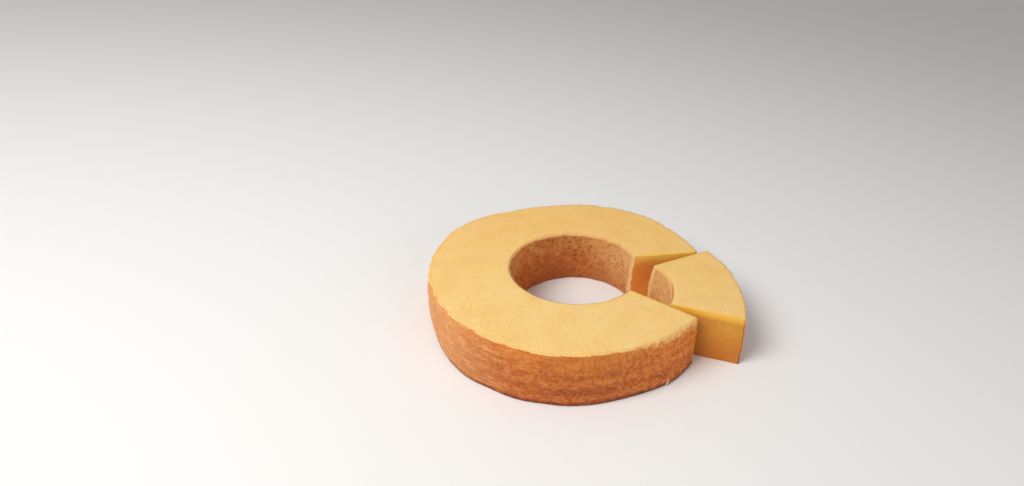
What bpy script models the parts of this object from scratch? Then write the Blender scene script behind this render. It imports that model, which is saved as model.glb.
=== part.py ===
"""A baumkuchen: a ring cake baked in thin layers, with one slice cut free and drawn partly out of its gap.

Metres, +Z up. The cake rests on z = 0, and the middle of its base is the origin.
"""

import math
from collections import namedtuple

import bpy
import bmesh
from mathutils import Vector, noise

# Driving sizes of the whole ring, as it stood before it was cut
RING_HEIGHT = 0.0306
OUTER_RADIUS = 0.075        # at the cut top edge
BASE_FLARE = 0.0015         # how much wider the baked side is at its foot
SIDE_BELLY = 0.0006         # how far the baked side swells at half height
HOLE_RADIUS = 0.0351        # inside the skin, just below its top edge
HOLE_TAPER = 0.0016         # how much narrower the hole is at its foot
RING_AXIS = (-0.00863, -0.00024)  # where the middle of the hole stands

# Rounded rims
TOP_RIM = 0.0006
FOOT_RIM = 0.0010
HOLE_RIM = 0.0011

# The outline is a little out of round: lobes round the ring, share of the radius, and the angle of one crest
OUTLINE_LOBES = (
    (3, 0.0130, math.radians(56.7)),
    (4, 0.0122, math.radians(69.7)),
    (5, 0.0052, math.radians(9.8)),
    (6, 0.0045, math.radians(25.6)),
)

# Relief: the length of its features round the ring, their spacing in height, their depth, and the pattern
Relief = namedtuple("Relief", "length spacing depth pattern")
WRINKLES = Relief(0.015, 0.0046, 0.00075, 11.3)     # long wrinkles in the baked side
DENTS = Relief(0.030, 0.014, 0.0008, 23.7)          # shallow dents in the baked side
TEARS = Relief(0.0052, 1.0, 0.0009, 37.1)           # nicks along the top edge of the crust
SKIN_WAVES = Relief(0.012, 0.006, 0.0004, 51.9)     # slight waves in the skin of the hole
TEAR_REACH = 0.0040         # how far down the crust a nick runs
TOP_WAVE_LENGTH, TOP_WAVE_DEPTH = 0.040, 0.0003     # the knife's slight waves in the cut top

# Shares of the ring's width, from the hole outward, where the hole's skin ends and the baked side begins
SKIN_ENDS, SIDE_BEGINS = 0.07, 0.93

# Near the gap the top edge of the crust has crumbled away, and its foot spreads
WORN_ANGLE, WORN_SPREAD = math.radians(-41), math.radians(7)
WORN_DEPTH, WORN_FOOT, WORN_FOOT_HEIGHT = 0.0009, 0.0012, 0.018

# Round the gap the side stands upright instead of flaring, and it swells a little at the front cut
UPRIGHT_ANGLE, UPRIGHT_SPREAD = math.radians(-15), math.radians(25)
SWELL_ANGLE, SWELL_SPREAD, SWELL = math.radians(-31), math.radians(7), 0.0010

# The two knife cuts: the direction of each, and where they would meet if they ran on
FRONT_CUT = math.radians(-28.2)
BACK_CUT = math.radians(18.75)
GAP_MEETING = (-0.0081, 0.0024)
SLICE_MEETING = (-0.0136, 0.0016)
CUT_REACH = 0.130           # how far the cutters run out from there
CUT_MARGIN = 0.010          # how far they stand above and below the cake

# The slice is drawn outward and turned, and still stands between the two cut faces
SLICE_DRAW = (0.0181, -0.0164)
SLICE_TURN = math.radians(16.9)

# The skin at the back edge of the slice curls a little into the hole
CURL_ANGLE, CURL_SPREAD, CURL_DEPTH = math.radians(28), math.radians(9), 0.0012
CURL_BELOW_RIM = 0.0060

# Facets
STEPS_ROUND = 164
SIDE_ROWS = 13
HOLE_ROWS = 7
TOP_ROWS = 3
FOOT_ROWS = 2
RIM_FACETS = 3

CRUMB_COLOUR, CRUMB_ROUGHNESS = (0.86, 0.53, 0.19, 1.0), 0.85
CRUST_COLOUR, CRUST_ROUGHNESS = (0.52, 0.17, 0.045, 1.0), 0.70
SKIN_COLOUR, SKIN_ROUGHNESS = (0.50, 0.24, 0.085, 1.0), 0.75


def clear_scene():
    for old in list(bpy.data.objects):
        bpy.data.objects.remove(old, do_unlink=True)


def new_collection(name):
    made = bpy.data.collections.new(name)
    bpy.context.scene.collection.children.link(made)
    return made


def food_material(name, colour, roughness):
    """A plain baked surface: colour, roughness and no metal."""
    made = bpy.data.materials.new(name)
    made.use_nodes = True
    made.diffuse_color = colour
    shader = made.node_tree.nodes["Principled BSDF"]
    shader.inputs["Base Color"].default_value = colour
    shader.inputs["Roughness"].default_value = roughness
    shader.inputs["Metallic"].default_value = 0.0
    return made


def side_radius(height):
    """Radius of the baked side at a height, before its relief."""
    share = height / RING_HEIGHT
    return OUTER_RADIUS + BASE_FLARE * (1 - share) + SIDE_BELLY * math.sin(math.pi * share)


def hole_radius(height):
    """Radius of the hole at a height, before its relief."""
    return HOLE_RADIUS - HOLE_TAPER * (1 - height / RING_HEIGHT)


def rim_arc(radius, height, rim, start, end):
    """Points of a quarter circle round (radius, height), from one angle to the other in degrees."""
    points = []
    for k in range(RIM_FACETS + 1):
        turn = math.radians(start + (end - start) * k / RIM_FACETS)
        points.append((radius + rim * math.cos(turn), height + rim * math.sin(turn)))
    return points


def between(start, end, rows):
    """Points that divide a straight stretch into equal rows, without its two ends."""
    return [
        (start[0] + (end[0] - start[0]) * k / rows, start[1] + (end[1] - start[1]) * k / rows)
        for k in range(1, rows)
    ]


def ring_profile():
    """The ring's section as (radius, height): out over the top, down the side, in below and up the hole."""
    top, foot = RING_HEIGHT, 0.0
    hole_top = rim_arc(hole_radius(top) + HOLE_RIM, top - HOLE_RIM, HOLE_RIM, 180, 90)
    side_top = rim_arc(side_radius(top) - TOP_RIM, top - TOP_RIM, TOP_RIM, 90, 0)
    side_foot = rim_arc(side_radius(foot) - FOOT_RIM, foot + FOOT_RIM, FOOT_RIM, 0, -90)
    hole_foot = rim_arc(hole_radius(foot) + HOLE_RIM, foot + HOLE_RIM, HOLE_RIM, 270, 180)
    side = []
    for _, height in between(side_top[-1], side_foot[0], SIDE_ROWS):
        side.append((side_radius(height), height))
    return (
        hole_top
        + between(hole_top[-1], side_top[0], TOP_ROWS)
        + side_top
        + side
        + side_foot
        + between(side_foot[-1], hole_foot[0], FOOT_ROWS)
        + hole_foot
        + between(hole_foot[-1], hole_top[0], HOLE_ROWS)
    )


def turned_mesh(profile, steps):
    """The mesh that a closed profile sweeps out round the Z axis."""
    wire = bpy.data.meshes.new("profile")
    count = len(profile)
    points = [(radius, 0.0, height) for radius, height in profile]
    wire.from_pydata(points, [(k, (k + 1) % count) for k in range(count)], [])
    guide = bpy.data.objects.new("profile", wire)
    bpy.context.scene.collection.objects.link(guide)
    screw = guide.modifiers.new("turn", "SCREW")
    screw.axis = "Z"
    screw.angle = math.tau
    screw.steps = steps
    screw.render_steps = steps
    screw.use_merge_vertices = True
    screw.merge_threshold = 0.0001
    evaluated = guide.evaluated_get(bpy.context.evaluated_depsgraph_get())
    swept = bpy.data.meshes.new_from_object(evaluated)
    bpy.data.objects.remove(guide, do_unlink=True)
    return swept


def unevenness(relief, angle, height):
    """How far a relief stands out (+) or in (-) at a place on one of the ring's upright sides."""
    spot = Vector((math.cos(angle), math.sin(angle), 0.0)) * (OUTER_RADIUS / relief.length)
    spot.z = height / relief.spacing + relief.pattern
    return relief.depth * noise.noise(spot)


def outline(angle):
    """How far out the ring's side stands at an angle, as a share of its radius."""
    return 1 + sum(share * math.cos(lobes * (angle - crest)) for lobes, share, crest in OUTLINE_LOBES)


def mound(angle, centre, spread):
    """A smooth rise from 0 to 1 and back round the ring, with its top at centre."""
    return math.exp(-(((angle - centre) / spread) ** 2))


def torn_edge(angle):
    """How far the top edge of the crust is torn in at an angle."""
    nick = max(0.0, unevenness(TEARS, angle, 0.0))
    return nick + WORN_DEPTH * mound(angle, WORN_ANGLE, WORN_SPREAD)


def ease(value, start, end):
    """A smooth step from 0 at start to 1 at end."""
    share = min(1.0, max(0.0, (value - start) / (end - start)))
    return share * share * (3 - 2 * share)


def shape_surface(mesh):
    """Gives the turned ring its uneven outline, crust, hole skin and top."""
    for vertex in mesh.vertices:
        radius, height = math.hypot(vertex.co.x, vertex.co.y), vertex.co.z
        angle = math.atan2(vertex.co.y, vertex.co.x)
        inner, outer = hole_radius(height), side_radius(height)
        share = min(1.0, max(0.0, (radius - inner) / (outer - inner)))
        on_side = ease(share, SIDE_BEGINS, 1.0)
        on_skin = ease(share, SKIN_ENDS, 0.0)
        near_top = ease(height, RING_HEIGHT - TEAR_REACH, RING_HEIGHT)
        near_foot = ease(height, WORN_FOOT_HEIGHT, 0.0)
        crust = unevenness(WRINKLES, angle, height) + unevenness(DENTS, angle, height)
        spread = WORN_FOOT * mound(angle, WORN_ANGLE, 2 * WORN_SPREAD) * near_foot
        flare = BASE_FLARE * (1 - height / RING_HEIGHT)
        radius += outer * (outline(angle) - 1) * share
        radius += SWELL * mound(angle, SWELL_ANGLE, SWELL_SPREAD) * share
        radius -= flare * mound(angle, UPRIGHT_ANGLE, UPRIGHT_SPREAD) * share
        radius += (crust - torn_edge(angle) * near_top + spread) * on_side
        radius += unevenness(SKIN_WAVES, angle, height) * on_skin
        vertex.co.x = radius * math.cos(angle)
        vertex.co.y = radius * math.sin(angle)
        if height > RING_HEIGHT - TOP_RIM:
            wave = noise.noise(Vector((vertex.co.x, vertex.co.y, 0.0)) / TOP_WAVE_LENGTH)
            vertex.co.z -= TOP_WAVE_DEPTH * (1 + wave) / 2 + torn_edge(angle) / 2 * on_side


def curl_skin(mesh):
    """Lets the hole's skin stand in at the slice's back edge, below its top rim."""
    for vertex in mesh.vertices:
        radius, height = math.hypot(vertex.co.x, vertex.co.y), vertex.co.z
        angle = math.atan2(vertex.co.y, vertex.co.x)
        on_skin = ease(radius, HOLE_RADIUS + HOLE_RIM, HOLE_RADIUS)
        below_rim = ease(height, RING_HEIGHT, RING_HEIGHT - CURL_BELOW_RIM)
        curl = CURL_DEPTH * mound(angle, CURL_ANGLE, CURL_SPREAD) * on_skin * below_rim
        vertex.co.x *= 1 - curl / radius
        vertex.co.y *= 1 - curl / radius


def cut_wedge(name, meeting, collection):
    """A cutter: the space between the two knife cuts, from where they meet to well past the cake."""
    corners = [Vector((meeting[0], meeting[1], -CUT_MARGIN))]
    for direction in (FRONT_CUT, BACK_CUT):
        corners.append(corners[0] + CUT_REACH * Vector((math.cos(direction), math.sin(direction), 0.0)))
    shape = bmesh.new()
    flat = shape.faces.new([shape.verts.new(corner) for corner in corners])
    grown = bmesh.ops.extrude_face_region(shape, geom=[flat])
    raised = [item for item in grown["geom"] if isinstance(item, bmesh.types.BMVert)]
    bmesh.ops.translate(shape, verts=raised, vec=(0.0, 0.0, RING_HEIGHT + 2 * CUT_MARGIN))
    bmesh.ops.recalc_face_normals(shape, faces=shape.faces)
    mesh = bpy.data.meshes.new(name)
    shape.to_mesh(mesh)
    shape.free()
    cutter = bpy.data.objects.new(name, mesh)
    cutter.hide_render = True
    cutter.display_type = "WIRE"
    collection.objects.link(cutter)
    return cutter


def cake_piece(name, whole, cutter, operation, collection):
    """One piece of the cut cake: the whole ring with a wedge taken away, or only what the wedge holds."""
    piece = bpy.data.objects.new(name, whole.copy())
    piece.data.name = name
    collection.objects.link(piece)
    cutter.parent = piece
    cut = piece.modifiers.new("knife_cut", "BOOLEAN")
    cut.operation = operation
    cut.solver = "EXACT"
    cut.object = cutter
    return piece


def colour_sides(mesh, materials):
    """Sets crumb on the cut top and foot, crust on the baked side and skin in the hole."""
    for material in materials:
        mesh.materials.append(material)
    crumb, crust, skin = range(len(materials))
    middle = (OUTER_RADIUS + HOLE_RADIUS) / 2
    steep = math.sin(math.radians(48))
    for face in mesh.polygons:
        if abs(face.normal.z) > steep:
            face.material_index = crumb
        elif math.hypot(face.center.x, face.center.y) > middle:
            face.material_index = crust
        else:
            face.material_index = skin


clear_scene()
cake = new_collection("baumkuchen")
cutters = new_collection("cutters")

whole_ring = turned_mesh(ring_profile(), STEPS_ROUND)
shape_surface(whole_ring)
colour_sides(
    whole_ring,
    (
        food_material("crumb", CRUMB_COLOUR, CRUMB_ROUGHNESS),
        food_material("baked_crust", CRUST_COLOUR, CRUST_ROUGHNESS),
        food_material("hole_skin", SKIN_COLOUR, SKIN_ROUGHNESS),
    ),
)
whole_ring.shade_smooth()

gap_cutter = cut_wedge("gap_cutter", GAP_MEETING, cutters)
ring = cake_piece("ring", whole_ring, gap_cutter, "DIFFERENCE", cake)
ring.location = (RING_AXIS[0], RING_AXIS[1], 0.0)

slice_cutter = cut_wedge("slice_cutter", SLICE_MEETING, cutters)
cut_slice = cake_piece("slice", whole_ring, slice_cutter, "INTERSECT", cake)
cut_slice.location = (RING_AXIS[0] + SLICE_DRAW[0], RING_AXIS[1] + SLICE_DRAW[1], 0.0)
cut_slice.rotation_euler.z = SLICE_TURN
curl_skin(cut_slice.data)

bpy.data.meshes.remove(whole_ring)
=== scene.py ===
"""Looks of a baumkuchen: a ring cake with a browned crust, and one slice drawn partly out of its gap."""

import math
import random
from itertools import combinations

import bpy
import numpy as np
from mathutils import Matrix, Vector, noise


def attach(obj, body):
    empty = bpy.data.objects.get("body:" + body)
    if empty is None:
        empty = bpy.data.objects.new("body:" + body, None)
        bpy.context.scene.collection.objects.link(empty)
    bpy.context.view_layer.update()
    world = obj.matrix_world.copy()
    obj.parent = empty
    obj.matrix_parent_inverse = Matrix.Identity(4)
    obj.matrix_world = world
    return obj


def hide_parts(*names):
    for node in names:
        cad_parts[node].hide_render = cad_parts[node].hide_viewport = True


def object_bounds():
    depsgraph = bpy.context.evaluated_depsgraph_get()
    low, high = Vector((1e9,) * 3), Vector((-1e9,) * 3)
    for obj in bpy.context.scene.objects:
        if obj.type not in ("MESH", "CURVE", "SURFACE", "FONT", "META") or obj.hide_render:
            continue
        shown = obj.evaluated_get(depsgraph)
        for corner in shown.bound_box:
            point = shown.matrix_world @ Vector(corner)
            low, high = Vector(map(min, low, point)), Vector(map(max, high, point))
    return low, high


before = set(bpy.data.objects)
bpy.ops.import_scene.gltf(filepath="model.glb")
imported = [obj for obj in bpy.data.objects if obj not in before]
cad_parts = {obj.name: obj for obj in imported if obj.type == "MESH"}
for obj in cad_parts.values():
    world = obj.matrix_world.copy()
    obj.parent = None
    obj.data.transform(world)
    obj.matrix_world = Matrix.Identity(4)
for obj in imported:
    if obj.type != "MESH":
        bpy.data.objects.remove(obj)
box_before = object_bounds()


# The ring
# It was baked layer upon layer round a turning rod, so its side is a browned, wrinkled crust, and a thin
# skin lines its hole. A knife cut it across from a long log, which bared the golden crumb above and below.
RING_HEIGHT = 0.0306
RING_AXIS = Vector((-0.00863, -0.00024, 0.0))
OUTER_RADIUS, BASE_FLARE, SIDE_BELLY = 0.075, 0.0015, 0.0006
HOLE_RADIUS, HOLE_TAPER = 0.0351, 0.0016
MIDDLE_RADIUS = 0.5 * (HOLE_RADIUS + OUTER_RADIUS)
TOP_RIM, FOOT_RIM, HOLE_RIM = 0.0006, 0.0010, 0.0011

# The uneven outline: how many lobes go round, their share of the radius, and a crest's angle in degrees
OUTLINE_LOBES = ((3, 0.0130, 56.7), (4, 0.0122, 69.7), (5, 0.0052, 9.8), (6, 0.0045, 25.6))

# Shares of the way from hole to side where the relief of the skin ends and that of the crust begins
SKIN_ENDS, SIDE_BEGINS = 0.07, 0.93

# The gap's two cuts run outward at these angles from the place where they would meet
FRONT_CUT, BACK_CUT = math.radians(-28.2), math.radians(18.75)
GAP_MEETING = (-0.0081, 0.0024)

# Near the gap the crust's top edge has crumbled away and its foot spreads
WORN_ANGLE, WORN_SPREAD = math.radians(-41), math.radians(7)
WORN_DEPTH, WORN_FOOT, WORN_FOOT_HEIGHT = 0.0009, 0.0012, 0.018
TEAR_REACH = 0.0040

# Round the gap the side stands upright instead of flaring, and it swells a little at the front cut
UPRIGHT_ANGLE, UPRIGHT_SPREAD = math.radians(-15), math.radians(25)
SWELL_ANGLE, SWELL_SPREAD, SWELL = math.radians(-31), math.radians(7), 0.0010

# Relief: the length of its features round the ring, their spacing in height, their depth, and the pattern
WRINKLES = (0.015, 0.0046, 0.00075, 11.3)
DENTS = (0.030, 0.014, 0.0008, 23.7)
TEARS = (0.0052, 1.0, 0.0009, 37.1)
NICKS = (0.0019, 1.0, 0.0003, 61.3)
CREASES = (0.0150, 0.0026, 0.00042, 3.1)
SCALES = (0.0034, 0.0022, 0.00030, 7.7)
SKIN_WAVES = (0.012, 0.006, 0.0004, 51.9)
SKIN_PITS = (0.0026, 0.0019, 0.00045, 81.7)

# Shares of a relief's depth: how far ridges stand out between the creases, and where a pit begins
CREASE_LEVEL, PIT_LEVEL = 0.2, 0.25

# The creases are deepest on the left, and elsewhere they keep at least this share of their depth
CREASED_ANGLE, CREASED_SPREAD, SMOOTHEST = math.radians(195), math.radians(48), 0.3

# Waves of the cut top, waves and crumb of the cut faces and how far in they reach, and wear of the edges
TOP_WAVE_LENGTH, TOP_WAVE_DEPTH = 0.040, 0.0003
CUT_WAVE_LENGTH, CUT_WAVE_DEPTH = 0.0065, 0.00018
CUT_CRUMB_LENGTH, CUT_CRUMB_DEPTH = 0.0014, 0.00022
CUT_FADE = 0.0020
EDGE_WEAR, EDGE_WEAR_LENGTH = 0.00020, 0.0013

# Along the frayed stretch of the crust's top edge pale flakes reach further down
FRAY_START, FRAY_FULL, FRAY_END = math.radians(-68), math.radians(-32), math.radians(-12)
FRAY_REACH, EDGE_REACH = 0.0066, 0.0005

# Every point stays this far inside the bounds of the whole cake
BOX_MARGIN = 0.000001

# Rows of facets from the hole to the side, from the foot to the top, round each rim and round the ring
ROWS_ACROSS, ROWS_UP, RIM_ROWS = 26, 58, 4
RING_COLUMNS = 570

# Edges between facets are smooth up to this angle
SHARP_EDGE = math.radians(60)

# The finishes of the ring and of the slice, in the order in which they are put on
CRUMB, CRUST, SKIN, CUT = range(4)


def noise_at(points):
    """Smooth noise, from -1 to 1, at each row of points."""
    return np.array([noise.noise(point) for point in points.tolist()])


def unevenness(relief, angle, height):
    """How far a relief stands out (+) or in (-) on one of the ring's upright sides."""
    length, spacing, depth, pattern = relief
    reach = OUTER_RADIUS / length
    spots = (np.cos(angle) * reach, np.sin(angle) * reach, height / spacing + pattern)
    return depth * noise_at(np.column_stack(spots))


def mound(angle, centre, spread):
    """A smooth rise from 0 to 1 and back round the ring, with its top at centre."""
    away = (angle - centre + math.pi) % math.tau - math.pi
    return np.exp(-((away / spread) ** 2))


def ease(value, start, end):
    """A smooth step from 0 at start to 1 at end."""
    share = np.clip((value - start) / (end - start), 0.0, 1.0)
    return share * share * (3 - 2 * share)


def side_radius(height):
    """Radius of the baked side at a height, before its relief."""
    share = height / RING_HEIGHT
    return OUTER_RADIUS + BASE_FLARE * (1 - share) + SIDE_BELLY * np.sin(math.pi * share)


def hole_radius(height):
    """Radius of the hole at a height, before its relief."""
    return HOLE_RADIUS - HOLE_TAPER * (1 - height / RING_HEIGHT)


def rim_arc(radius, height, rim, start, end):
    """Points of half a rounded rim, from one angle to the other in degrees."""
    turn = np.radians(np.linspace(start, end, RIM_ROWS + 1))
    return np.column_stack((radius + rim * np.cos(turn), height + rim * np.sin(turn)))


def edge_line(first_arc, last_arc, rows):
    """One edge of the section: half a rim, a straight stretch in equal rows, and half a rim."""
    straight = np.linspace(first_arc[-1], last_arc[0], rows - 2 * RIM_ROWS + 1)
    return np.concatenate((first_arc, straight[1:-1], last_arc))


def ring_section():
    """The ring's section as a grid of (radius, height), from hole to side and from foot to top."""
    top = RING_HEIGHT
    hole_top = (hole_radius(top) + HOLE_RIM, top - HOLE_RIM, HOLE_RIM)
    side_top = (side_radius(top) - TOP_RIM, top - TOP_RIM, TOP_RIM)
    side_foot = (side_radius(0.0) - FOOT_RIM, FOOT_RIM, FOOT_RIM)
    hole_foot = (hole_radius(0.0) + HOLE_RIM, HOLE_RIM, HOLE_RIM)
    top_edge = edge_line(rim_arc(*hole_top, 135, 90), rim_arc(*side_top, 90, 45), ROWS_ACROSS)
    foot_edge = edge_line(rim_arc(*hole_foot, 225, 270), rim_arc(*side_foot, 270, 315), ROWS_ACROSS)
    hole_edge = edge_line(rim_arc(*hole_foot, 225, 180), rim_arc(*hole_top, 180, 135), ROWS_UP)
    side_edge = edge_line(rim_arc(*side_foot, -45, 0), rim_arc(*side_top, 0, 45), ROWS_UP)
    upright = slice(RIM_ROWS, ROWS_UP - RIM_ROWS + 1)
    side_edge[upright, 0] = side_radius(side_edge[upright, 1])
    a = np.linspace(0, 1, ROWS_ACROSS + 1)[:, None, None]
    b = np.linspace(0, 1, ROWS_UP + 1)[None, :, None]
    across = (1 - a) * hole_edge[None] + a * side_edge[None]
    upward = (1 - b) * foot_edge[:, None] + b * top_edge[:, None]
    low_corners = (1 - a) * foot_edge[0] + a * foot_edge[-1]
    high_corners = (1 - a) * top_edge[0] + a * top_edge[-1]
    return across + upward - (1 - b) * low_corners - b * high_corners


def cut_angle(meeting, direction, radius):
    """The angle round the ring at which a knife cut crosses a radius."""
    way = np.array((math.cos(direction), math.sin(direction)))
    middle = np.array(meeting)
    nearest = middle @ way
    reach = np.sqrt(nearest**2 - middle @ middle + radius**2) - nearest
    return np.arctan2(middle[1] + reach * way[1], middle[0] + reach * way[0])


def torn_edge(angle):
    """How far the crust's top edge is torn in at an angle, by broad tears and by fine nicks."""
    tears = np.maximum(0.0, unevenness(TEARS, angle, 0.0 * angle))
    nicks = np.maximum(0.0, unevenness(NICKS, angle, 0.0 * angle))
    return tears + WORN_DEPTH * mound(angle, WORN_ANGLE, WORN_SPREAD), nicks


def shaped(angle, radius, height):
    """Radius and height of a place on the section once it has the ring's outline, crust and skin."""
    side = side_radius(height)
    share = np.clip((radius - hole_radius(height)) / (side - hole_radius(height)), 0.0, 1.0)
    on_side = ease(share, SIDE_BEGINS, 1.0)
    on_skin = ease(share, SKIN_ENDS, 0.0)
    near_top = ease(height, RING_HEIGHT - TEAR_REACH, RING_HEIGHT)
    at_top = ease(height, RING_HEIGHT - 0.5 * TEAR_REACH, RING_HEIGHT)
    near_foot = ease(height, WORN_FOOT_HEIGHT, 0.0)
    lobes = 0.0
    for count, part, crest in OUTLINE_LOBES:
        lobes += part * np.cos(count * (angle - math.radians(crest)))
    broad, fine = torn_edge(angle)
    crust = unevenness(WRINKLES, angle, height) + unevenness(DENTS, angle, height)
    creased = CREASE_LEVEL * CREASES[2] - np.abs(unevenness(CREASES, angle, height))
    crust += creased * (SMOOTHEST + (1 - SMOOTHEST) * mound(angle, CREASED_ANGLE, CREASED_SPREAD))
    crust += CREASE_LEVEL * SCALES[2] - np.abs(unevenness(SCALES, angle, height))
    crust += WORN_FOOT * mound(angle, WORN_ANGLE, 2 * WORN_SPREAD) * near_foot
    pits = np.maximum(0.0, unevenness(SKIN_PITS, angle, height) - PIT_LEVEL * SKIN_PITS[2])
    flare = BASE_FLARE * (1 - height / RING_HEIGHT)
    moved = radius + side * lobes * share
    moved += SWELL * mound(angle, SWELL_ANGLE, SWELL_SPREAD) * share
    moved -= flare * mound(angle, UPRIGHT_ANGLE, UPRIGHT_SPREAD) * share
    moved += (crust - broad * near_top - fine * at_top) * on_side
    moved += (unevenness(SKIN_WAVES, angle, height) + pits) * on_skin
    spots = np.column_stack((moved * np.cos(angle), moved * np.sin(angle), 0 * angle)) / TOP_WAVE_LENGTH
    lowered = TOP_WAVE_DEPTH * (1 + noise_at(spots)) / 2 + (broad + fine) / 2 * on_side
    return moved, height - np.where(height > RING_HEIGHT - TOP_RIM, lowered, 0.0)


def fray(angle):
    """How far down the crust pale flakes reach at an angle."""
    away = (angle + math.pi) % math.tau - math.pi
    share = ease(away, FRAY_START, FRAY_FULL) * ease(away, FRAY_END, FRAY_FULL)
    return EDGE_REACH + (FRAY_REACH - EDGE_REACH) * share


def no_curl(angle, radius, height):
    """A skin that doesn't stand in anywhere, as the ring's own."""
    return 0.0


def held_inside(points):
    """The points as plain lists, with any that stands out of the cake's bounds moved just inside them."""
    low, high = np.array(box_before)
    return np.clip(points, low + BOX_MARGIN, high - BOX_MARGIN).tolist()


def grid_faces(number):
    """The facets over the six sides of a grid of point numbers, facing outward, and the finish of each."""
    faces, finishes = [], []
    for grid, flipped, finish in (
        (number[:, :, -1], False, CRUMB),
        (number[:, :, 0], True, CRUMB),
        (number[:, -1, :], True, CRUST),
        (number[:, 0, :], False, SKIN),
        (number[0], True, CUT),
        (number[-1], False, CUT),
    ):
        quads = np.stack((grid[:-1, :-1], grid[:-1, 1:], grid[1:, 1:], grid[1:, :-1]), -1).reshape(-1, 4)
        faces.append(quads if flipped else quads[:, ::-1])
        finishes.append(np.full(len(quads), finish, np.int32))
    return np.concatenate(faces), np.concatenate(finishes)


def cake_mesh(name, meeting, first_cut, last_cut, columns, place, curl=no_curl):
    """A closed piece of the ring between two knife cuts, storing how deep in the cake each point lies."""
    section = ring_section()
    u, i, j = np.meshgrid(range(columns + 1), range(ROWS_ACROSS + 1), range(ROWS_UP + 1), indexing="ij")
    at_cut = (u == 0) | (u == columns)
    on_rim = (i == 0) | (i == ROWS_ACROSS) | (j == 0) | (j == ROWS_UP)
    kept = at_cut | on_rim
    number = np.full(kept.shape, -1)
    number[kept] = range(kept.sum())
    worn_and_painted_light = (at_cut & on_rim)[kept]
    i, j = i[kept], j[kept]
    radius, height = section[i, j].T

    def span(reach):
        """The angle of the first cut at a radius, and the turn from there to the last cut."""
        first = cut_angle(meeting, first_cut, reach)
        return first, (cut_angle(meeting, last_cut, reach) - first) % math.tau

    inset = EDGE_WEAR / (span(MIDDLE_RADIUS)[1] * MIDDLE_RADIUS)
    stations = np.concatenate(((0.0,), np.linspace(inset, 1 - inset, columns - 1), (1.0,)))
    along = stations[u[kept]]
    first, turn = span(radius)
    angle = first + along * turn
    moved, lifted = shaped(angle, radius, height)
    moved = moved - curl(angle, radius, height)

    # The edges of the two cut faces are crumbled, and the faces themselves are slightly rough
    spots = np.column_stack((moved * np.cos(angle), moved * np.sin(angle), lifted))
    wear = EDGE_WEAR * (0.75 + 0.75 * noise_at(spots / EDGE_WEAR_LENGTH)) * worn_and_painted_light
    moved += wear * np.where(i == 0, 1.0, np.where(i == ROWS_ACROSS, -1.0, 0.0))
    lifted += wear * np.where(j == 0, 1.0, np.where(j == ROWS_UP, -1.0, 0.0))
    first, turn = span(moved)
    angle = first + along * turn
    rough = CUT_WAVE_DEPTH * (1 + noise_at(spots / CUT_WAVE_LENGTH)) / 2
    rough += CUT_CRUMB_DEPTH * np.abs(noise_at(spots / CUT_CRUMB_LENGTH))
    from_first = along * turn * moved
    from_last = (1 - along) * turn * moved
    angle += rough / moved * (ease(from_first, CUT_FADE, 0.0) - ease(from_last, CUT_FADE, 0.0))
    points = np.column_stack((moved * np.cos(angle), moved * np.sin(angle), lifted))

    faces, finishes = grid_faces(number)
    placed = np.array([(place @ Vector(point))[:] for point in points.tolist()])
    mesh = bpy.data.meshes.new(name)
    mesh.from_pydata(held_inside(placed), [], faces.tolist())
    mesh.polygons.foreach_set("material_index", finishes)
    depths = {
        "under_crust": side_radius(height) - radius,
        "under_skin": radius - hole_radius(height),
        "fray": fray(angle),
        "from_cut": np.minimum(from_first, from_last),
    }
    for title, values in depths.items():
        depth = mesh.attributes.new(title, "FLOAT", "POINT")
        depth.data.foreach_set("value", np.asarray(values, np.float32))
    in_ring = mesh.attributes.new("ring_place", "FLOAT_VECTOR", "POINT")
    in_ring.data.foreach_set("vector", points.astype(np.float32).ravel())
    mesh.shade_smooth()
    mesh.set_sharp_from_angle(angle=SHARP_EDGE)
    return mesh


ring_place = Matrix.Translation(RING_AXIS)
ring_mesh = cake_mesh("ring_cake", GAP_MEETING, BACK_CUT, FRONT_CUT, RING_COLUMNS, ring_place)
ring_cake = bpy.data.objects.new("ring_cake", ring_mesh)
bpy.context.scene.collection.objects.link(ring_cake)


# Its finishes: the knife bared pale golden crumb, baking gave an orange brown crust outside, and the skin
# inside is thin and brown. The slice is of the same batter and shares them.
def tint(red, green, blue):
    """A colour given as it looks, from 0 to 255, as the linear values that shaders take."""
    shares = [value / 255 for value in (red, green, blue)]
    return (*[v / 12.92 if v <= 0.04045 else ((v + 0.055) / 1.055) ** 2.4 for v in shares], 1.0)


# Colours of the crumb on each cut: pale, gold, in its pores with painted shade, a painted glow along its top
# edge, and painted shade towards the foot and the hole
CRUMB_COLORS = (
    tint(253, 211, 139),
    tint(245, 192, 110),
    tint(222, 150, 66),
    tint(246, 196, 84),
    tint(210, 106, 44),
)
# The slice's cut faces: darker and more saturated than the top, as painted shade and painted warm reflected
# light
FACE_COLORS = (
    tint(218, 161, 66),
    tint(200, 131, 38),
    tint(158, 80, 28),
    tint(248, 198, 80),
    tint(197, 106, 40),
)
# The ring's cut faces in the gap: brighter and more orange, as painted light shining through the crumb and
# bouncing between the faces
GAP_COLORS = (
    tint(255, 204, 108),
    tint(255, 192, 88),
    tint(236, 156, 66),
    tint(255, 208, 92),
    tint(250, 138, 56),
)

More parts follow.
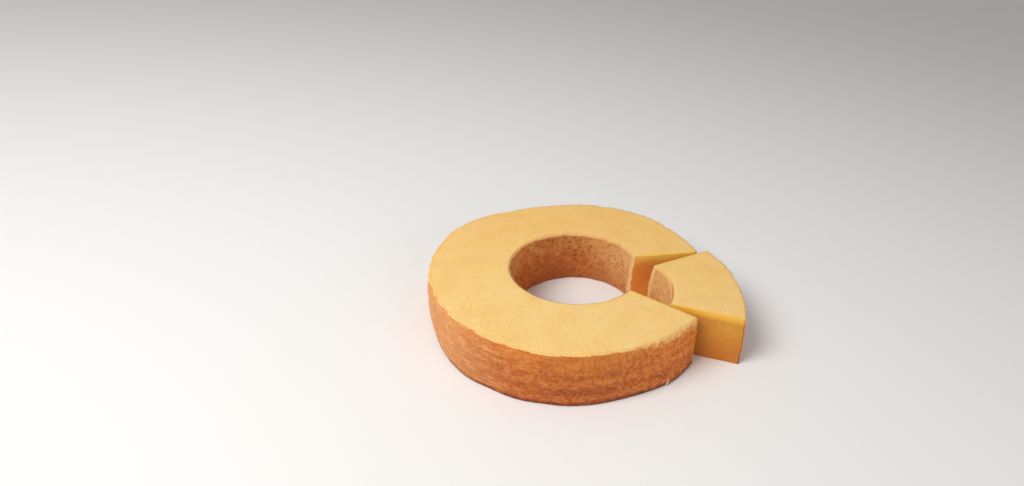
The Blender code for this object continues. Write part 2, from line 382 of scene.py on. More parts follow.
# Colours of the crust, of the painted shadow along its foot, of the flaked fringe along its top edge, and of
# the skin. The crust's pale colour and the skin's palest one serve as painted highlights.
CRUST_LIGHT, CRUST_BROWN, CRUST_RED = tint(206, 118, 40), tint(184, 90, 28), tint(150, 62, 22)
CRUST_PALE, CRUST_FLECK = tint(238, 174, 112), tint(220, 144, 84)
CRUST_BAND, FOOT_SHADOW = tint(226, 142, 54), tint(112, 48, 22)
FRINGE_PALE, FRINGE_GOLD = tint(255, 216, 142), tint(255, 196, 114)
SKIN_LIGHT, SKIN_BROWN, SKIN_DARK = tint(214, 154, 84), tint(190, 108, 50), tint(136, 70, 36)
SKIN_PALE, SKIN_LIP, SKIN_HIGHLIGHT = tint(230, 178, 114), tint(244, 196, 126), tint(254, 208, 152)

# Factors of painted light: the first lightens the crust's right side, the second lightens and warms the
# hole's shaded left wall
RIGHT_LIGHT_FACTORS = (1.34, 1.36, 1.12, 1.0)
SKIN_LEFT_LIGHT = (1.28, 1.22, 1.2, 1.0)

# How shiny the cake is, and the shares of the glow's depth to which red, green and blue light sink in
CAKE_SHINE = 0.25
GLOW_SHARES = (1.0, 0.45, 0.12)
CAKE_GLOW_DEPTH = 0.004


def new_group(name, inputs, outputs):
    """An empty shader node group with named sockets: (kind, name, start value)."""
    group = bpy.data.node_groups.new(name, "ShaderNodeTree")
    for kind, title, value in inputs:
        socket = group.interface.new_socket(title, in_out="INPUT", socket_type="NodeSocket" + kind)
        if value is not None:
            socket.default_value = value
    for kind, title in outputs:
        group.interface.new_socket(title, in_out="OUTPUT", socket_type="NodeSocket" + kind)
    return group, group.nodes.new("NodeGroupInput").outputs, group.nodes.new("NodeGroupOutput").inputs


def add(tree, kind, *values, **settings):
    """A node with its settings, and its inputs in order as numbers, colours or links. None skips one."""
    made = tree.nodes.new("ShaderNode" + kind)
    for title, value in settings.items():
        setattr(made, title, value)
    for socket, value in zip(made.inputs, values):
        if isinstance(value, bpy.types.NodeSocket):
            tree.links.new(value, socket)
        elif value is not None:
            socket.default_value = value
    return made.outputs


def stored(tree, title):
    """A number that the mesh stores for each of its points."""
    return add(tree, "Attribute", attribute_name=title)["Fac"]


def reckon(tree, operation, *values):
    """A number worked out from others."""
    return add(tree, "Math", *values, operation=operation)[0]


def times(tree, first, second):
    """Two numbers multiplied."""
    return reckon(tree, "MULTIPLY", first, second)


def plus(tree, base, *parts):
    """A number with shares of others added to it, each part given as (value, share)."""
    for value, share in parts:
        base = reckon(tree, "MULTIPLY_ADD", value, share, base)
    return base


def between(tree, value, low, high, to_low=0.0, to_high=1.0):
    """A smooth step of a value between two limits."""
    return add(tree, "MapRange", value, low, high, to_low, to_high, interpolation_type="SMOOTHSTEP")[0]


def from_to(tree, share, start, end):
    """A number that goes smoothly from start to end as a share goes from 0 to 1."""
    return between(tree, share, 0.0, 1.0, start, end)


def blend(tree, share, first, second, how="MIX"):
    """Two colours mixed by a share."""
    others = [None] * 5
    return add(tree, "Mix", share, *others, first, second, data_type="RGBA", blend_type=how)[2]


def in_features(tree, place, size, flat):
    """A place counted in features of this size in metres, this many times flatter than they are wide."""
    return add(tree, "VectorMath", place, (1 / size, 1 / size, flat / size), operation="MULTIPLY")[0]


def grain(tree, place, size, detail=2.0, rough=0.5, flat=1.0):
    """Noise from 0 to 1 whose features are about this size in metres."""
    made = tree.nodes.new("ShaderNodeTexNoise")
    tree.links.new(in_features(tree, place, size, flat), made.inputs["Vector"])
    made.inputs["Scale"].default_value = 1.0
    made.inputs["Detail"].default_value = detail
    made.inputs["Roughness"].default_value = rough
    return made.outputs["Fac"]


def pits(tree, place, size, share, rim, core, flat=1.0):
    """Round pits in a share of cells of about this size in metres, from 0 at the rim to 1 at the core."""
    made = tree.nodes.new("ShaderNodeTexVoronoi")
    tree.links.new(in_features(tree, place, size, flat), made.inputs["Vector"])
    made.inputs["Scale"].default_value = 1.0
    chance = add(tree, "SeparateColor", made.outputs["Color"])[0]
    pit = between(tree, made.outputs["Distance"], rim, core)
    return times(tree, pit, reckon(tree, "LESS_THAN", chance, share))


# The crumb has golden patches, small pores and faint baking layers. Painted shade makes it more golden
# towards the back.
LAYER_SPACING, LAYER_WOBBLE = 0.0017, 0.0016
PAINTED_BACK_SHADE = (-0.05, 0.06)
PORE_CONTRAST = 0.22
crumb_group, given, out = new_group(
    "cut_crumb",
    (
        ("Vector", "Place", None),
        ("Color", "Pale", CRUMB_COLORS[0]),
        ("Color", "Gold", CRUMB_COLORS[1]),
        ("Color", "Pore", CRUMB_COLORS[2]),
        ("Float", "Pores", 0.30),
        ("Float", "Pore Contrast", PORE_CONTRAST),
        ("Float", "Layer Contrast", 0.10),
    ),
    (("Color", "Color"), ("Float", "Height")),
)
tree = crumb_group
place = given["Place"]
backward = add(tree, "SeparateXYZ", place)["Y"]
patches = grain(tree, place, 0.014)
speckle = grain(tree, place, 0.0013, 3.0, 0.6)
fine = grain(tree, place, 0.0004, 2.0, 0.6)
pore = pits(tree, place, 0.0014, given["Pores"], 0.34, 0.14)
small_pore = pits(tree, place, 0.0008, given["Pores"], 0.36, 0.16)
pitted = reckon(tree, "MAXIMUM", pore, small_pore)
wobble = times(tree, grain(tree, place, 0.009), LAYER_WOBBLE)
depth = reckon(tree, "ADD", stored(tree, "under_crust"), wobble)
wave = reckon(tree, "SINE", times(tree, depth, math.tau / LAYER_SPACING))
gold = between(tree, patches, 0.3, 0.75, 0.05, 0.45)
# painted shade: more golden towards the back, where less light falls
gold = reckon(tree, "ADD", gold, between(tree, backward, *PAINTED_BACK_SHADE, 0.0, 0.5))
gold = plus(tree, gold, (wave, given["Layer Contrast"]), (reckon(tree, "SUBTRACT", speckle, 0.5), 1.1))
color = blend(tree, gold, given["Pale"], given["Gold"])
# painted shade: the pores are darkened towards the pore colour
color = blend(tree, times(tree, pitted, given["Pore Contrast"]), color, given["Pore"])
tree.links.new(color, out["Color"])
tree.links.new(plus(tree, 0.0, (fine, 0.5), (pitted, -1.0), (speckle, 0.5)), out["Height"])

# The crust is mottled brown with pale flecks. Painted shade reddens its grooves and hollows, and painted
# highlights pale its ridges.
# It changes over these stretches from the middle to the left or the right, and over these levels between top
# and foot.
LEFT_SIDE, RIGHT_SIDE, LEFT_SHEEN = (0.005, -0.045), (0.004, 0.050), (-0.012, -0.068)
RIGHT_LIGHT_REACH, RIGHT_LIGHT_LEVELS = (0.018, 0.062), (0.001, 0.018)
SHADE_DOWN_LEVELS, GOLDEN_UP = (0.028, 0.003), (RING_HEIGHT - 0.0085, RING_HEIGHT)
FOOT_SHADOW_LEVELS, FOOT_WAVER = (0.0016, -0.0010), 0.0036
crust_group, given, out = new_group(
    "baked_crust",
    (("Vector", "Place", None), ("Float", "Flecks", 0.65)),
    (("Color", "Color"), ("Float", "Height")),
)
tree = crust_group
place = given["Place"]
across, _, level = add(tree, "SeparateXYZ", place)[:3]
at_left = between(tree, across, *LEFT_SIDE)
at_right = between(tree, across, *RIGHT_SIDE)
patches = grain(tree, place, 0.020, 2.0, 0.5, 2.0)
mottle = grain(tree, place, 0.0032, 4.0, 0.7, 1.15)
ridges = grain(tree, place, 0.0095, 4.0, 0.62, 4.2)
flecks = grain(tree, place, 0.0030, 3.0, 0.7, 1.8)
scaly = grain(tree, place, 0.0013, 2.0, 0.6, 1.2)
fine = grain(tree, place, 0.0006, 2.0, 0.6)
hollow = pits(tree, place, 0.0021, 0.4, 0.48, 0.12, 1.3)

# The last layers left belts round the ring, dark and pale in turn from the foot up, and fainter on the left
BELT_SPACING, BELT_PHASE, BELT_SWAY, BELT_LEVELS = 0.0085, -1.39, 0.006, (0.025, 0.017)
sway = plus(tree, level, (patches, BELT_SWAY))
belt = reckon(tree, "SINE", plus(tree, BELT_PHASE, (sway, math.tau / BELT_SPACING)))
belt = times(tree, belt, between(tree, level, *BELT_LEVELS))
belt = times(tree, belt, from_to(tree, at_left, 1.0, 0.35))
# painted shade: browner towards the foot
tone = between(tree, level, *SHADE_DOWN_LEVELS, -0.85, -0.55)
tone = reckon(tree, "SUBTRACT", plus(tree, tone, (belt, 0.13), (patches, 0.7)), 0.35)
tone = plus(tree, tone, (mottle, 1.4), (scaly, 0.9))
color = blend(tree, between(tree, tone, 0.10, 0.62), CRUST_LIGHT, CRUST_BROWN)
color = blend(tree, between(tree, tone, 0.50, 0.95), color, CRUST_RED)
golden = times(tree, between(tree, level, *GOLDEN_UP), mottle)
color = blend(tree, golden, color, CRUST_BAND)
# painted shade: the grooves between the ridges are reddened
groove = times(tree, between(tree, ridges, 0.48, 0.36), from_to(tree, at_left, 0.25, 0.45))
groove = times(tree, groove, from_to(tree, at_right, 1.0, 0.35))
color = blend(tree, groove, color, CRUST_RED)
# painted highlight: the ridges are paled, most on the lit left
ridge = times(tree, between(tree, ridges, 0.49, 0.62), from_to(tree, at_left, 0.05, 0.6))
color = blend(tree, ridge, color, CRUST_PALE)
# painted shade in the hollows
color = blend(tree, times(tree, hollow, 0.3), color, CRUST_RED)
color = blend(tree, between(tree, scaly, 0.50, 0.70, 0.0, 0.5), color, CRUST_FLECK)
pale = times(tree, between(tree, belt, 0.2, -0.7, 0.12, 1.0), between(tree, flecks, 0.48, 0.64))
color = blend(tree, times(tree, pale, given["Flecks"]), color, CRUST_FLECK)

# Short upright marks show where it crumbled, most on the right. The left is paler, a painted sheen of the
# light, and the far right is lightened by painted light.
upright = grain(tree, place, 0.0015, 3.0, 0.7, 0.6)
crumbled = from_to(tree, at_right, 0.45, 1.0)
pale_mark = times(tree, between(tree, upright, 0.50, 0.66, 0.0, 0.6), crumbled)
color = blend(tree, pale_mark, color, CRUST_FLECK)
red_mark = times(tree, between(tree, upright, 0.48, 0.36, 0.0, 0.5), crumbled)
color = blend(tree, red_mark, color, CRUST_RED)
# painted sheen: the left side, where the light falls, is paled
color = blend(tree, between(tree, across, *LEFT_SHEEN, 0.0, 0.66), color, CRUST_PALE)
# painted light: the crust's right side is lightened, most higher up
worn_and_painted_light = times(tree, between(tree, across, *RIGHT_LIGHT_REACH), between(tree, level, *RIGHT_LIGHT_LEVELS, 0.5, 1.0))
color = blend(tree, worn_and_painted_light, color, RIGHT_LIGHT_FACTORS, "MULTIPLY")

# Thin brown lines on the left are painted shade in the folds, and a painted contact shadow runs along the
# foot
folds = grain(tree, place, 0.0070, 3.0, 0.6, 5.0)
fold_lines = between(tree, reckon(tree, "ABSOLUTE", reckon(tree, "SUBTRACT", folds, 0.5)), 0.045, 0.010)
fold_lines = times(tree, fold_lines, from_to(tree, at_left, 0.0, 0.42))
color = blend(tree, fold_lines, color, CRUST_BROWN)
# painted contact shadow along the foot
foot = between(tree, plus(tree, level, (mottle, -FOOT_WAVER)), *FOOT_SHADOW_LEVELS, 0.0, 0.75)
tree.links.new(blend(tree, foot, color, FOOT_SHADOW), out["Color"])
height = plus(tree, 0.0, (scaly, 1.3), (ridges, 1.2), (mottle, 1.0), (flecks, 0.7))
height = plus(tree, height, (hollow, -0.5), (fine, 0.4))
tree.links.new(height, out["Height"])

# The skin of the hole is pitted and mottled. Painted shade makes it browner low down, darker at the foot and
# in its pits, most on the left; painted light makes it paler to the right and higher up, and lightens its
# shaded left wall. Its pale lip along the cut top is partly its own paler edge and partly a painted
# highlight on the rim.
SKIN_PALE_SIDE, SKIN_PALE_UP = (-0.006, 0.028), (0.002, 0.022)
SKIN_LEFT_LIGHT_SIDE, SKIN_FOOT_SHADE, PIT_SHADE_SIDE = (-0.012, -0.034), (0.010, 0.0), (0.0, 0.03)
LIP_LEVELS, LIP_WAVER = (RING_HEIGHT - 0.0006, RING_HEIGHT + 0.0012), 0.003
skin_group, given, out = new_group(
    "hole_skin", (("Vector", "Place", None),), (("Color", "Color"), ("Float", "Height"))
)
tree = skin_group
place = given["Place"]
across, backward, level = add(tree, "SeparateXYZ", place)[:3]
patches = grain(tree, place, 0.012, 3.0, 0.6)
mottle = grain(tree, place, 0.0032, 3.0, 0.65)
grit = grain(tree, place, 0.0012, 2.0, 0.6)
fine = grain(tree, place, 0.0005, 2.0, 0.6)
wide_hollow = pits(tree, place, 0.0030, 0.42, 0.46, 0.16)
small_hollow = pits(tree, place, 0.0015, 0.22, 0.44, 0.16)
hollow = reckon(tree, "MAXIMUM", wide_hollow, small_hollow)
# painted shade: browner towards the foot
brown = reckon(tree, "SUBTRACT", between(tree, level, *SHADE_DOWN_LEVELS, 0.0, 0.55), 1.15)
brown = plus(tree, brown, (patches, 1.0), (mottle, 1.5), (grit, 0.6))
color = blend(tree, between(tree, brown, -0.15, 0.9), SKIN_LIGHT, SKIN_BROWN)
# painted light: paler to the right and higher up
paled = between(tree, across, *SKIN_PALE_SIDE, 0.0, 0.9)
paled = times(tree, paled, between(tree, level, *SKIN_PALE_UP, 0.45, 1.0))
paled = times(tree, paled, between(tree, mottle, 0.70, 0.35, 0.7, 1.0))
color = blend(tree, paled, color, SKIN_PALE)
color = blend(tree, between(tree, brown, 0.45, 1.25, 0.0, 0.3), color, SKIN_DARK)
# painted shade at the foot
color = blend(tree, between(tree, level, *SKIN_FOOT_SHADE, 0.0, 0.25), color, SKIN_DARK)
# painted light on the shaded left wall
color = blend(tree, between(tree, across, *SKIN_LEFT_LIGHT_SIDE), color, SKIN_LEFT_LIGHT, "MULTIPLY")
# painted shade in the pits, most on the left
pit_shade = times(tree, hollow, between(tree, across, *PIT_SHADE_SIDE, 0.40, 0.20))
color = blend(tree, pit_shade, color, SKIN_DARK)
# partly a painted highlight on the rounded rim
lip = between(tree, plus(tree, level, (mottle, LIP_WAVER)), *LIP_LEVELS, 0.0, 0.85)
color = blend(tree, lip, color, SKIN_LIP)

# On the slice's skin in front, a pale stripe of painted highlight under a brown line of painted shade stands
# for a fold, and its back corner gets a pale painted highlight
SLICE_SKIN, SLICE_FRONT = (0.018, 0.024), (0.001, -0.007)
FOLD_HIGHLIGHT_LEVELS = (RING_HEIGHT - 0.0050, RING_HEIGHT - 0.0026)
FOLD_SHADE_LEVELS = (RING_HEIGHT - 0.0014, RING_HEIGHT - 0.0007)
CORNER_STARTS, CORNER_ENDS = (0.0130, 0.0158), (0.0200, 0.0172)
on_slice = between(tree, across, *SLICE_SKIN)
in_front = times(tree, on_slice, between(tree, backward, *SLICE_FRONT))
# painted highlight of the fold
fold_highlight = times(tree, in_front, between(tree, level, *FOLD_HIGHLIGHT_LEVELS))
color = blend(tree, times(tree, fold_highlight, 0.9), color, SKIN_HIGHLIGHT)
# painted shade along the rim above it
fold_shade = times(tree, in_front, between(tree, level, *FOLD_SHADE_LEVELS))
color = blend(tree, times(tree, fold_shade, 0.8), color, SKIN_BROWN)
# painted highlight at the back corner
at_back = times(tree, between(tree, backward, *CORNER_STARTS), between(tree, backward, *CORNER_ENDS))
at_back = times(tree, at_back, on_slice)
color = blend(tree, times(tree, at_back, 0.5), color, SKIN_HIGHLIGHT)
tree.links.new(color, out["Color"])
height = plus(tree, 0.0, (mottle, 1.6), (hollow, -1.0), (grit, 0.8), (fine, 0.3))
tree.links.new(height, out["Height"])

# Crust, skin and crumb meet along ragged lines, and the crust's top edge is frayed to bare crumb. A mask
# begins at the first of its two distances from such a line, a cut or the foot, and is full at the second.
CRUST_TOP = RING_HEIGHT - 0.0003
LINE_BLUR, BAND, SKIN_LINE = (0.0002, -0.0002), (0.0014, 0.0), (0.0003, 0.00005)
# The cut edge's mask carries a painted glow: yellow crumb under the top edge of each cut face
CORNER, CUT_EDGE, CUT_FACE = (0.0014, 0.0002), (0.0022, 0.0004), (0.0006, 0.0002)
# Painted shade on the cut faces: towards the foot, and near the hole below the top, where the other piece
# shades them
SHADE_LEVELS, RING_SHADE_REACH, RING_SHADE_LEVELS = (0.027, 0.0), (0.036, 0.010), (0.030, 0.022)
ZONES = ("Crust", "Band", "Fringe", "Fringe Depth", "Skin", "Skin Line", "Corner", "Cut Edge", "Painted Shade")
zones_group, given, out = new_group(
    "baked_zones",
    (("Vector", "Place", None), ("Float", "Crust Thickness", 0.0006), ("Float", "Skin Thickness", 0.0009)),
    [("Float", zone) for zone in ZONES],
)
tree = zones_group
place = given["Place"]
level = add(tree, "SeparateXYZ", place)["Z"]
from_cut = stored(tree, "from_cut")
from_skin = stored(tree, "under_skin")
ragged = grain(tree, place, 0.0018, 4.0, 0.7, 1.4)
hanging = grain(tree, place, 0.0026, 4.0, 0.65, 0.55)
below_top = reckon(tree, "SUBTRACT", CRUST_TOP, level)
near_top = reckon(tree, "SUBTRACT", 1.0, reckon(tree, "DIVIDE", below_top, stored(tree, "fray")))
bared = plus(tree, near_top, (reckon(tree, "SUBTRACT", hanging, 0.5), 3.0))
crust_depth = times(tree, given["Crust Thickness"], plus(tree, 0.2, (ragged, 1.6)))
past_crust = reckon(tree, "SUBTRACT", stored(tree, "under_crust"), crust_depth)
skin_depth = times(tree, given["Skin Thickness"], plus(tree, 0.75, (ragged, 0.5)))
past_skin = reckon(tree, "SUBTRACT", from_skin, skin_depth)
from_edge = reckon(tree, "MAXIMUM", from_cut, times(tree, below_top, 0.45))
ring_shade = between(tree, from_skin, *RING_SHADE_REACH, 0.0, 0.9)
ring_shade = times(tree, ring_shade, between(tree, level, *RING_SHADE_LEVELS))
painted_shade = reckon(tree, "MAXIMUM", between(tree, level, *SHADE_LEVELS), ring_shade)
masks = {
    "Crust": between(tree, past_crust, *LINE_BLUR),
    "Band": between(tree, past_crust, *BAND),
    "Fringe": between(tree, bared, 0.15, 0.75),
    "Fringe Depth": between(tree, bared, 1.25, 0.5),
    "Skin": between(tree, past_skin, *LINE_BLUR),
    "Skin Line": between(tree, reckon(tree, "ABSOLUTE", past_skin), *SKIN_LINE),
    "Corner": between(tree, from_cut, *CORNER),
    "Cut Edge": between(tree, from_edge, *CUT_EDGE),
    "Painted Shade": times(tree, between(tree, from_cut, *CUT_FACE), painted_shade),
}
for zone, mask in masks.items():
    tree.links.new(mask, out[zone])


def soft_material(name, glow, glow_depth, rough):
    """A matt material that light sinks into a little, its node tree and its shader."""
    material = bpy.data.materials.new(name)
    material.use_nodes = True
    shader = material.node_tree.nodes["Principled BSDF"]
    shader.inputs["Roughness"].default_value = rough
    shader.inputs["Specular IOR Level"].default_value = CAKE_SHINE
    shader.inputs["Subsurface Weight"].default_value = glow
    shader.inputs["Subsurface Radius"].default_value = GLOW_SHARES
    shader.inputs["Subsurface Scale"].default_value = glow_depth
    return material, material.node_tree, shader


def cake_finish(name, glow, rough, relief, colors=CRUMB_COLORS, pitting=PORE_CONTRAST, rind=0.0):
    """Crumb, crust and skin, each where the zones put it. The rind is how far a cut reddens the crust."""
    material, tree, shader = soft_material(name, glow, CAKE_GLOW_DEPTH, rough)
    place = add(tree, "Attribute", attribute_name="ring_place")["Vector"]

    def grouped(group, **values):
        """A shader node group at each point's place in the ring, with values for its other inputs."""
        made = tree.nodes.new("ShaderNodeGroup")
        made.node_tree = group
        tree.links.new(place, made.inputs["Place"])
        for title, value in values.items():
            made.inputs[title.replace("_", " ")].default_value = value
        return made.outputs

    zones = grouped(zones_group)
    pale, gold, pore, edge, painted_shade = colors
    crumb = grouped(crumb_group, Pale=pale, Gold=gold, Pore=pore, Pore_Contrast=pitting)
    crust = grouped(crust_group)
    skin = grouped(skin_group)
    # painted glow: yellow crumb along the top edge of the cut faces
    color = blend(tree, times(tree, zones["Cut Edge"], 0.8), crumb["Color"], edge)
    # painted shade towards the foot and the hole of each cut face
    color = blend(tree, times(tree, zones["Painted Shade"], 0.75), color, painted_shade)
    color = blend(tree, times(tree, zones["Band"], 0.25), color, CRUST_BAND)
    lining = blend(tree, times(tree, zones["Corner"], 0.6), skin["Color"], SKIN_LIP)
    color = blend(tree, zones["Skin"], color, lining)
    color = blend(tree, times(tree, zones["Skin Line"], 0.5), color, SKIN_BROWN)
    bared = blend(tree, zones["Fringe Depth"], FRINGE_PALE, FRINGE_GOLD)
    baked = blend(tree, times(tree, zones["Fringe"], 0.85), crust["Color"], bared)
    color = blend(tree, zones["Crust"], color, blend(tree, rind, baked, CRUST_RED))
    tree.links.new(color, shader.inputs["Base Color"])
    height = add(tree, "MapRange", zones["Skin"], None, None, crumb["Height"], skin["Height"])[0]
    height = add(tree, "MapRange", zones["Crust"], None, None, height, crust["Height"])[0]
    height = plus(tree, height, (zones["Fringe"], 0.6))
    bump = tree.nodes.new("ShaderNodeBump")
    bump.inputs["Distance"].default_value = relief
    bump.inputs["Strength"].default_value = 1.0
    tree.links.new(height, bump.inputs["Height"])
    tree.links.new(bump.outputs["Normal"], shader.inputs["Normal"])
    return material


crumb_finish = cake_finish("cut_crumb", glow=0.5, rough=0.85, relief=0.00022)
crust_finish = cake_finish("baked_crust", glow=0.15, rough=0.62, relief=0.00045)
skin_finish = cake_finish("hole_skin", glow=0.3, rough=0.75, relief=0.00035)
face_finish = cake_finish(
    "cut_face", glow=0.5, rough=0.85, relief=0.00025, colors=FACE_COLORS, pitting=0.5, rind=0.6
)
gap_finish = cake_finish("gap_face", glow=0.8, rough=0.85, relief=0.00025, colors=GAP_COLORS)
for finish in (crumb_finish, crust_finish, skin_finish, gap_finish):
    ring_mesh.materials.append(finish)
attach(ring_cake, "root")
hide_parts("ring")


# The slice
# It is of the same cake, cut from the ring with the same knife. It was drawn outward and turned a little,
# and still stands in its gap, with the skin of the hole curling in at its back edge.
SLICE_MEETING = (-0.0136, 0.0016)
SLICE_DRAW = Vector((0.0181, -0.0164, 0.0))
SLICE_TURN = math.radians(16.9)
SLICE_COLUMNS = 130
CURL_ANGLE, CURL_SPREAD, CURL_DEPTH, CURL_BELOW_RIM = math.radians(28), math.radians(9), 0.0012, 0.0060


def slice_curl(angle, radius, height):
    """How far the skin stands in at the slice's back edge, below its rim."""
    on_skin = ease(radius, HOLE_RADIUS + HOLE_RIM, HOLE_RADIUS)
    below_rim = ease(height, RING_HEIGHT, RING_HEIGHT - CURL_BELOW_RIM)
    return CURL_DEPTH * mound(angle, CURL_ANGLE, CURL_SPREAD) * on_skin * below_rim


slice_place = Matrix.Translation(RING_AXIS + SLICE_DRAW) @ Matrix.Rotation(SLICE_TURN, 4, "Z")
slice_mesh = cake_mesh(
    "slice_cake", SLICE_MEETING, FRONT_CUT, BACK_CUT, SLICE_COLUMNS, slice_place, curl=slice_curl
)
slice_cake = bpy.data.objects.new("slice_cake", slice_mesh)
bpy.context.scene.collection.objects.link(slice_cake)
for finish in (crumb_finish, crust_finish, skin_finish, face_finish):
    slice_mesh.materials.append(finish)
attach(slice_cake, "root")
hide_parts("slice")


# Flakes on the edges
# Sawing through the crisp crust broke it into pale flakes. Most cling to its top edge near the gap, and a
# few to the corner of the cut, to the slice's corners and to the foot.
FLAKE_PALE, FLAKE_GOLD, FLAKE_PATCH = tint(252, 208, 146), tint(244, 176, 104), 0.0012
FLAKE_GLOW_DEPTH = 0.0015

# A flake's size, how thick, wide and high it is for that size, how far it leans and how ragged it is
FLAKE_SIZES = (0.00022, 0.00070)
FLAKE_THICK, FLAKE_WIDE, FLAKE_HIGH = 0.45, (0.7, 1.3), (0.5, 0.9)
FLAKE_LEAN, FLAKE_RAGGED = (-0.7, 0.7), (0.6, 1.3)

# On the frayed edge they crowd to the top and stop just short of the cut. Small ones lie along the rim.
# Those of the frayed edge and of the foot stand out by a share of their size.
FRINGE_FLAKES, FRINGE_DROP, FRINGE_CROWDING, FRINGE_STOP = 110, 0.0003, 1.6, 0.003
RIM_FLAKES, RIM_SHARE, RIM_DROPS = 80, 0.6, (0.0002, 0.0009)
FRINGE_OUT, FOOT_OUT = 0.1, 0.3
RIM_START, RIM_END = math.radians(-200), FRAY_START

# Single flakes by height and size. On the corners they lie an angle short of the cut, and on the curled
# skin an angle past it. At the foot they lie in a line that leans round the side as it rises.
CORNER_SPOTS = (
    (0.0222, 0.00070),
    (0.0233, 0.00050),
    (0.0208, 0.00055),
    (0.0186, 0.00044),
    (0.0246, 0.00045),
    (0.0262, 0.00065),
)
SLICE_SPOTS = ((0.0172, 0.00050), (0.0155, 0.00042), (0.0188, 0.00034), (0.0128, 0.00034), (0.0222, 0.00038))
SKIN_SPOTS = ((0.0180, 0.00085), (0.0164, 0.00060), (0.0196, 0.00052), (0.0148, 0.00050))
FOOT_SPOTS = ((0.0010, 0.00070), (0.0018, 0.00085), (0.0028, 0.00075), (0.0037, 0.00055), (0.0044, 0.00036))
CORNER_SHORT, SKIN_PAST = 0.004, 0.012
FOOT_ANGLE, FOOT_LEAN = math.radians(-47.0), 0.25
dice = random.Random(5)


def on_side(angle, height, out=0.0, side=side_radius):
    """A point of an upright side at an angle and height, this far out of its surface."""
    angles, heights = np.array([angle]), np.array([height])
    radius, lifted = shaped(angles, side(heights), heights)
    return Vector(((radius[0] + out) * math.cos(angle), (radius[0] + out) * math.sin(angle), lifted[0]))


def lump():
    """Corners and outward facets of a round lump with twenty sides."""
    golden = (1 + math.sqrt(5)) / 2
    corners = [(0, a, b * golden) for a in (-1, 1) for b in (-1, 1)]
    corners = [corner[turn:] + corner[:turn] for turn in range(3) for corner in corners]
    corners = np.array(corners) / math.hypot(1, golden)
    side_length = 2 / math.hypot(1, golden)
    facets = []
    for p, q, r in combinations(range(len(corners)), 3):
        lengths = [math.dist(corners[a], corners[b]) for a, b in ((p, q), (q, r), (p, r))]
        if max(lengths) < 1.1 * side_length:
            facets.append((p, q, r) if np.linalg.det(corners[[p, q, r]]) > 0 else (p, r, q))
    return corners, facets


def flake_mesh(name, flakes, place):
    """One mesh of small ragged lumps, each given by its middle, the angle that it faces and its size."""
    corners, facets = lump()
    points, faces = [], []
    for middle, angle, size in flakes:
        shape = Matrix.Rotation(angle, 4, "Z") @ Matrix.Rotation(dice.uniform(*FLAKE_LEAN), 4, "X")
        form = (FLAKE_THICK, dice.uniform(*FLAKE_WIDE), dice.uniform(*FLAKE_HIGH), 1.0)
        shape = shape @ Matrix.Diagonal(form)
        faces += [tuple(len(points) + corner for corner in facet) for facet in facets]
        for corner in corners:
            ragged = size * dice.uniform(*FLAKE_RAGGED)
            points.append((place @ (middle + shape @ (Vector(corner) * ragged)))[:])
    mesh = bpy.data.meshes.new(name)
    mesh.from_pydata(held_inside(points), [], faces)
    return mesh


ring_flakes = []
front_corner = cut_angle(GAP_MEETING, FRONT_CUT, OUTER_RADIUS)
for _ in range(FRINGE_FLAKES):
    angle = dice.uniform(FRAY_START, front_corner - FRINGE_STOP)
    down = FRINGE_DROP + float(fray(angle)) * dice.random() ** FRINGE_CROWDING
    size = dice.uniform(*FLAKE_SIZES)
    ring_flakes.append((on_side(angle, RING_HEIGHT - down, FRINGE_OUT * size), angle, size))
for _ in range(RIM_FLAKES):
    angle = dice.uniform(RIM_START, RIM_END)
    size = RIM_SHARE * dice.uniform(*FLAKE_SIZES)
    ring_flakes.append((on_side(angle, RING_HEIGHT - dice.uniform(*RIM_DROPS)), angle, size))
angle = front_corner - CORNER_SHORT
for level, size in CORNER_SPOTS:
    ring_flakes.append((on_side(angle, level), angle, size))
for level, size in FOOT_SPOTS:
    angle = FOOT_ANGLE + FOOT_LEAN * (level - FOOT_SPOTS[0][0]) / OUTER_RADIUS
    ring_flakes.append((on_side(angle, level, FOOT_OUT * size), angle, size))
slice_flakes = []
angle = cut_angle(SLICE_MEETING, FRONT_CUT, OUTER_RADIUS) + CORNER_SHORT
for level, size in SLICE_SPOTS:
    slice_flakes.append((on_side(angle, level), angle, size))
angle = cut_angle(SLICE_MEETING, BACK_CUT, HOLE_RADIUS) + SKIN_PAST
for level, size in SKIN_SPOTS:
    slice_flakes.append((on_side(angle, level, -CURL_DEPTH, hole_radius), angle, size))

flake_finish, tree, shader = soft_material("crust_flakes", glow=0.3, glow_depth=FLAKE_GLOW_DEPTH, rough=0.8)
patchy = between(tree, grain(tree, add(tree, "TexCoord")["Object"], FLAKE_PATCH), 0.35, 0.65)
tree.links.new(blend(tree, patchy, FLAKE_PALE, FLAKE_GOLD), shader.inputs["Base Color"])
for name, flakes, place in (
    ("ring_flakes", ring_flakes, ring_place),
    ("slice_flakes", slice_flakes, slice_place),
):
    clinging = bpy.data.objects.new(name, flake_mesh(name, flakes, place))
    bpy.context.scene.collection.objects.link(clinging)
    clinging.data.materials.append(flake_finish)
    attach(clinging, "root")


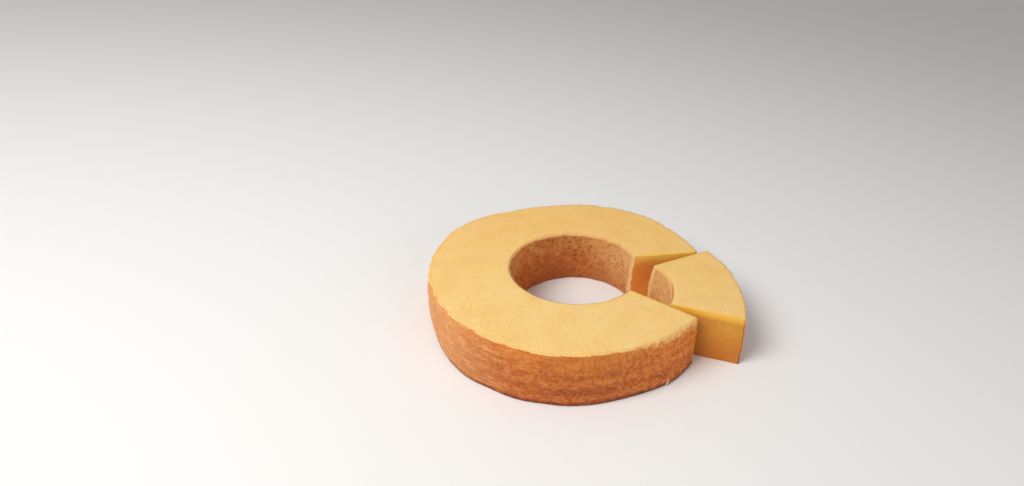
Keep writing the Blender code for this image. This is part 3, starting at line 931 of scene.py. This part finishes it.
# Floor, light and camera
# The floor is plain and pale. One soft light stands at the left and a weaker one at the right, and the room
# adds some light all round. The camera looks down at the cake from in front, turned a little on its side.
FLOOR_REACH = 3.0
CAKE_MIDDLE = Vector((0.0, 0.0, 0.02))
floor_mesh = bpy.data.meshes.new("floor")
floor_corners = [(x * FLOOR_REACH, y * FLOOR_REACH, 0) for x, y in ((-1, -1), (1, -1), (1, 1), (-1, 1))]
floor_mesh.from_pydata(floor_corners, [], [(0, 1, 2, 3)])
floor = bpy.data.objects.new("floor", floor_mesh)
bpy.context.scene.collection.objects.link(floor)
floor_finish = bpy.data.materials.new("pale_floor")
floor_finish.use_nodes = True
floor_shader = floor_finish.node_tree.nodes["Principled BSDF"]
floor_shader.inputs["Base Color"].default_value = (0.88, 0.87, 0.86, 1.0)
floor_shader.inputs["Roughness"].default_value = 0.9
floor_mesh.materials.append(floor_finish)


def soft_light(name, place, size, power, color):
    """A round soft light of this size at a place, aimed at the middle of the cake."""
    lamp = bpy.data.lights.new(name, "AREA")
    lamp.shape = "DISK"
    lamp.size = size
    lamp.energy = power
    lamp.color = color
    made = bpy.data.objects.new(name, lamp)
    made.location = place
    made.rotation_euler = (CAKE_MIDDLE - Vector(place)).to_track_quat("-Z", "Y").to_euler()
    bpy.context.scene.collection.objects.link(made)


soft_light("key_light", (-0.47, -0.40, 0.72), size=0.55, power=6.6, color=(1.0, 0.985, 0.96))
soft_light("fill_light", (1.0, -0.82, 0.5), size=0.8, power=2.5, color=(1.0, 0.99, 0.97))
world = bpy.data.worlds.new("studio")
world.use_nodes = True
around = world.node_tree.nodes["Background"]
around.inputs["Color"].default_value = (1.0, 1.0, 1.0, 1.0)
around.inputs["Strength"].default_value = 0.38
bpy.context.scene.world = world
bpy.context.scene.view_settings.view_transform = "Standard"

YAW, PITCH, ROLL = math.radians(-7.9), math.radians(35.37), math.radians(9.89)
ahead = Vector((-math.sin(YAW) * math.cos(PITCH), math.cos(YAW) * math.cos(PITCH), -math.sin(PITCH)))
level_right = Vector((math.cos(YAW), math.sin(YAW), 0.0))
level_up = level_right.cross(ahead)
right = math.cos(ROLL) * level_right + math.sin(ROLL) * level_up
upward = math.cos(ROLL) * level_up - math.sin(ROLL) * level_right
eye = bpy.data.cameras.new("camera")
eye.sensor_width = 36.0
eye.lens = 20.084
eye.shift_x = -0.17737
eye.shift_y = 0.06179
eye.clip_start = 0.01
camera = bpy.data.objects.new("camera", eye)
camera.matrix_world = Matrix((right, upward, -ahead)).transposed().to_4x4()
camera.location = (0.022103, -0.271055, 0.204401)
bpy.context.scene.collection.objects.link(camera)
bpy.context.scene.camera = camera
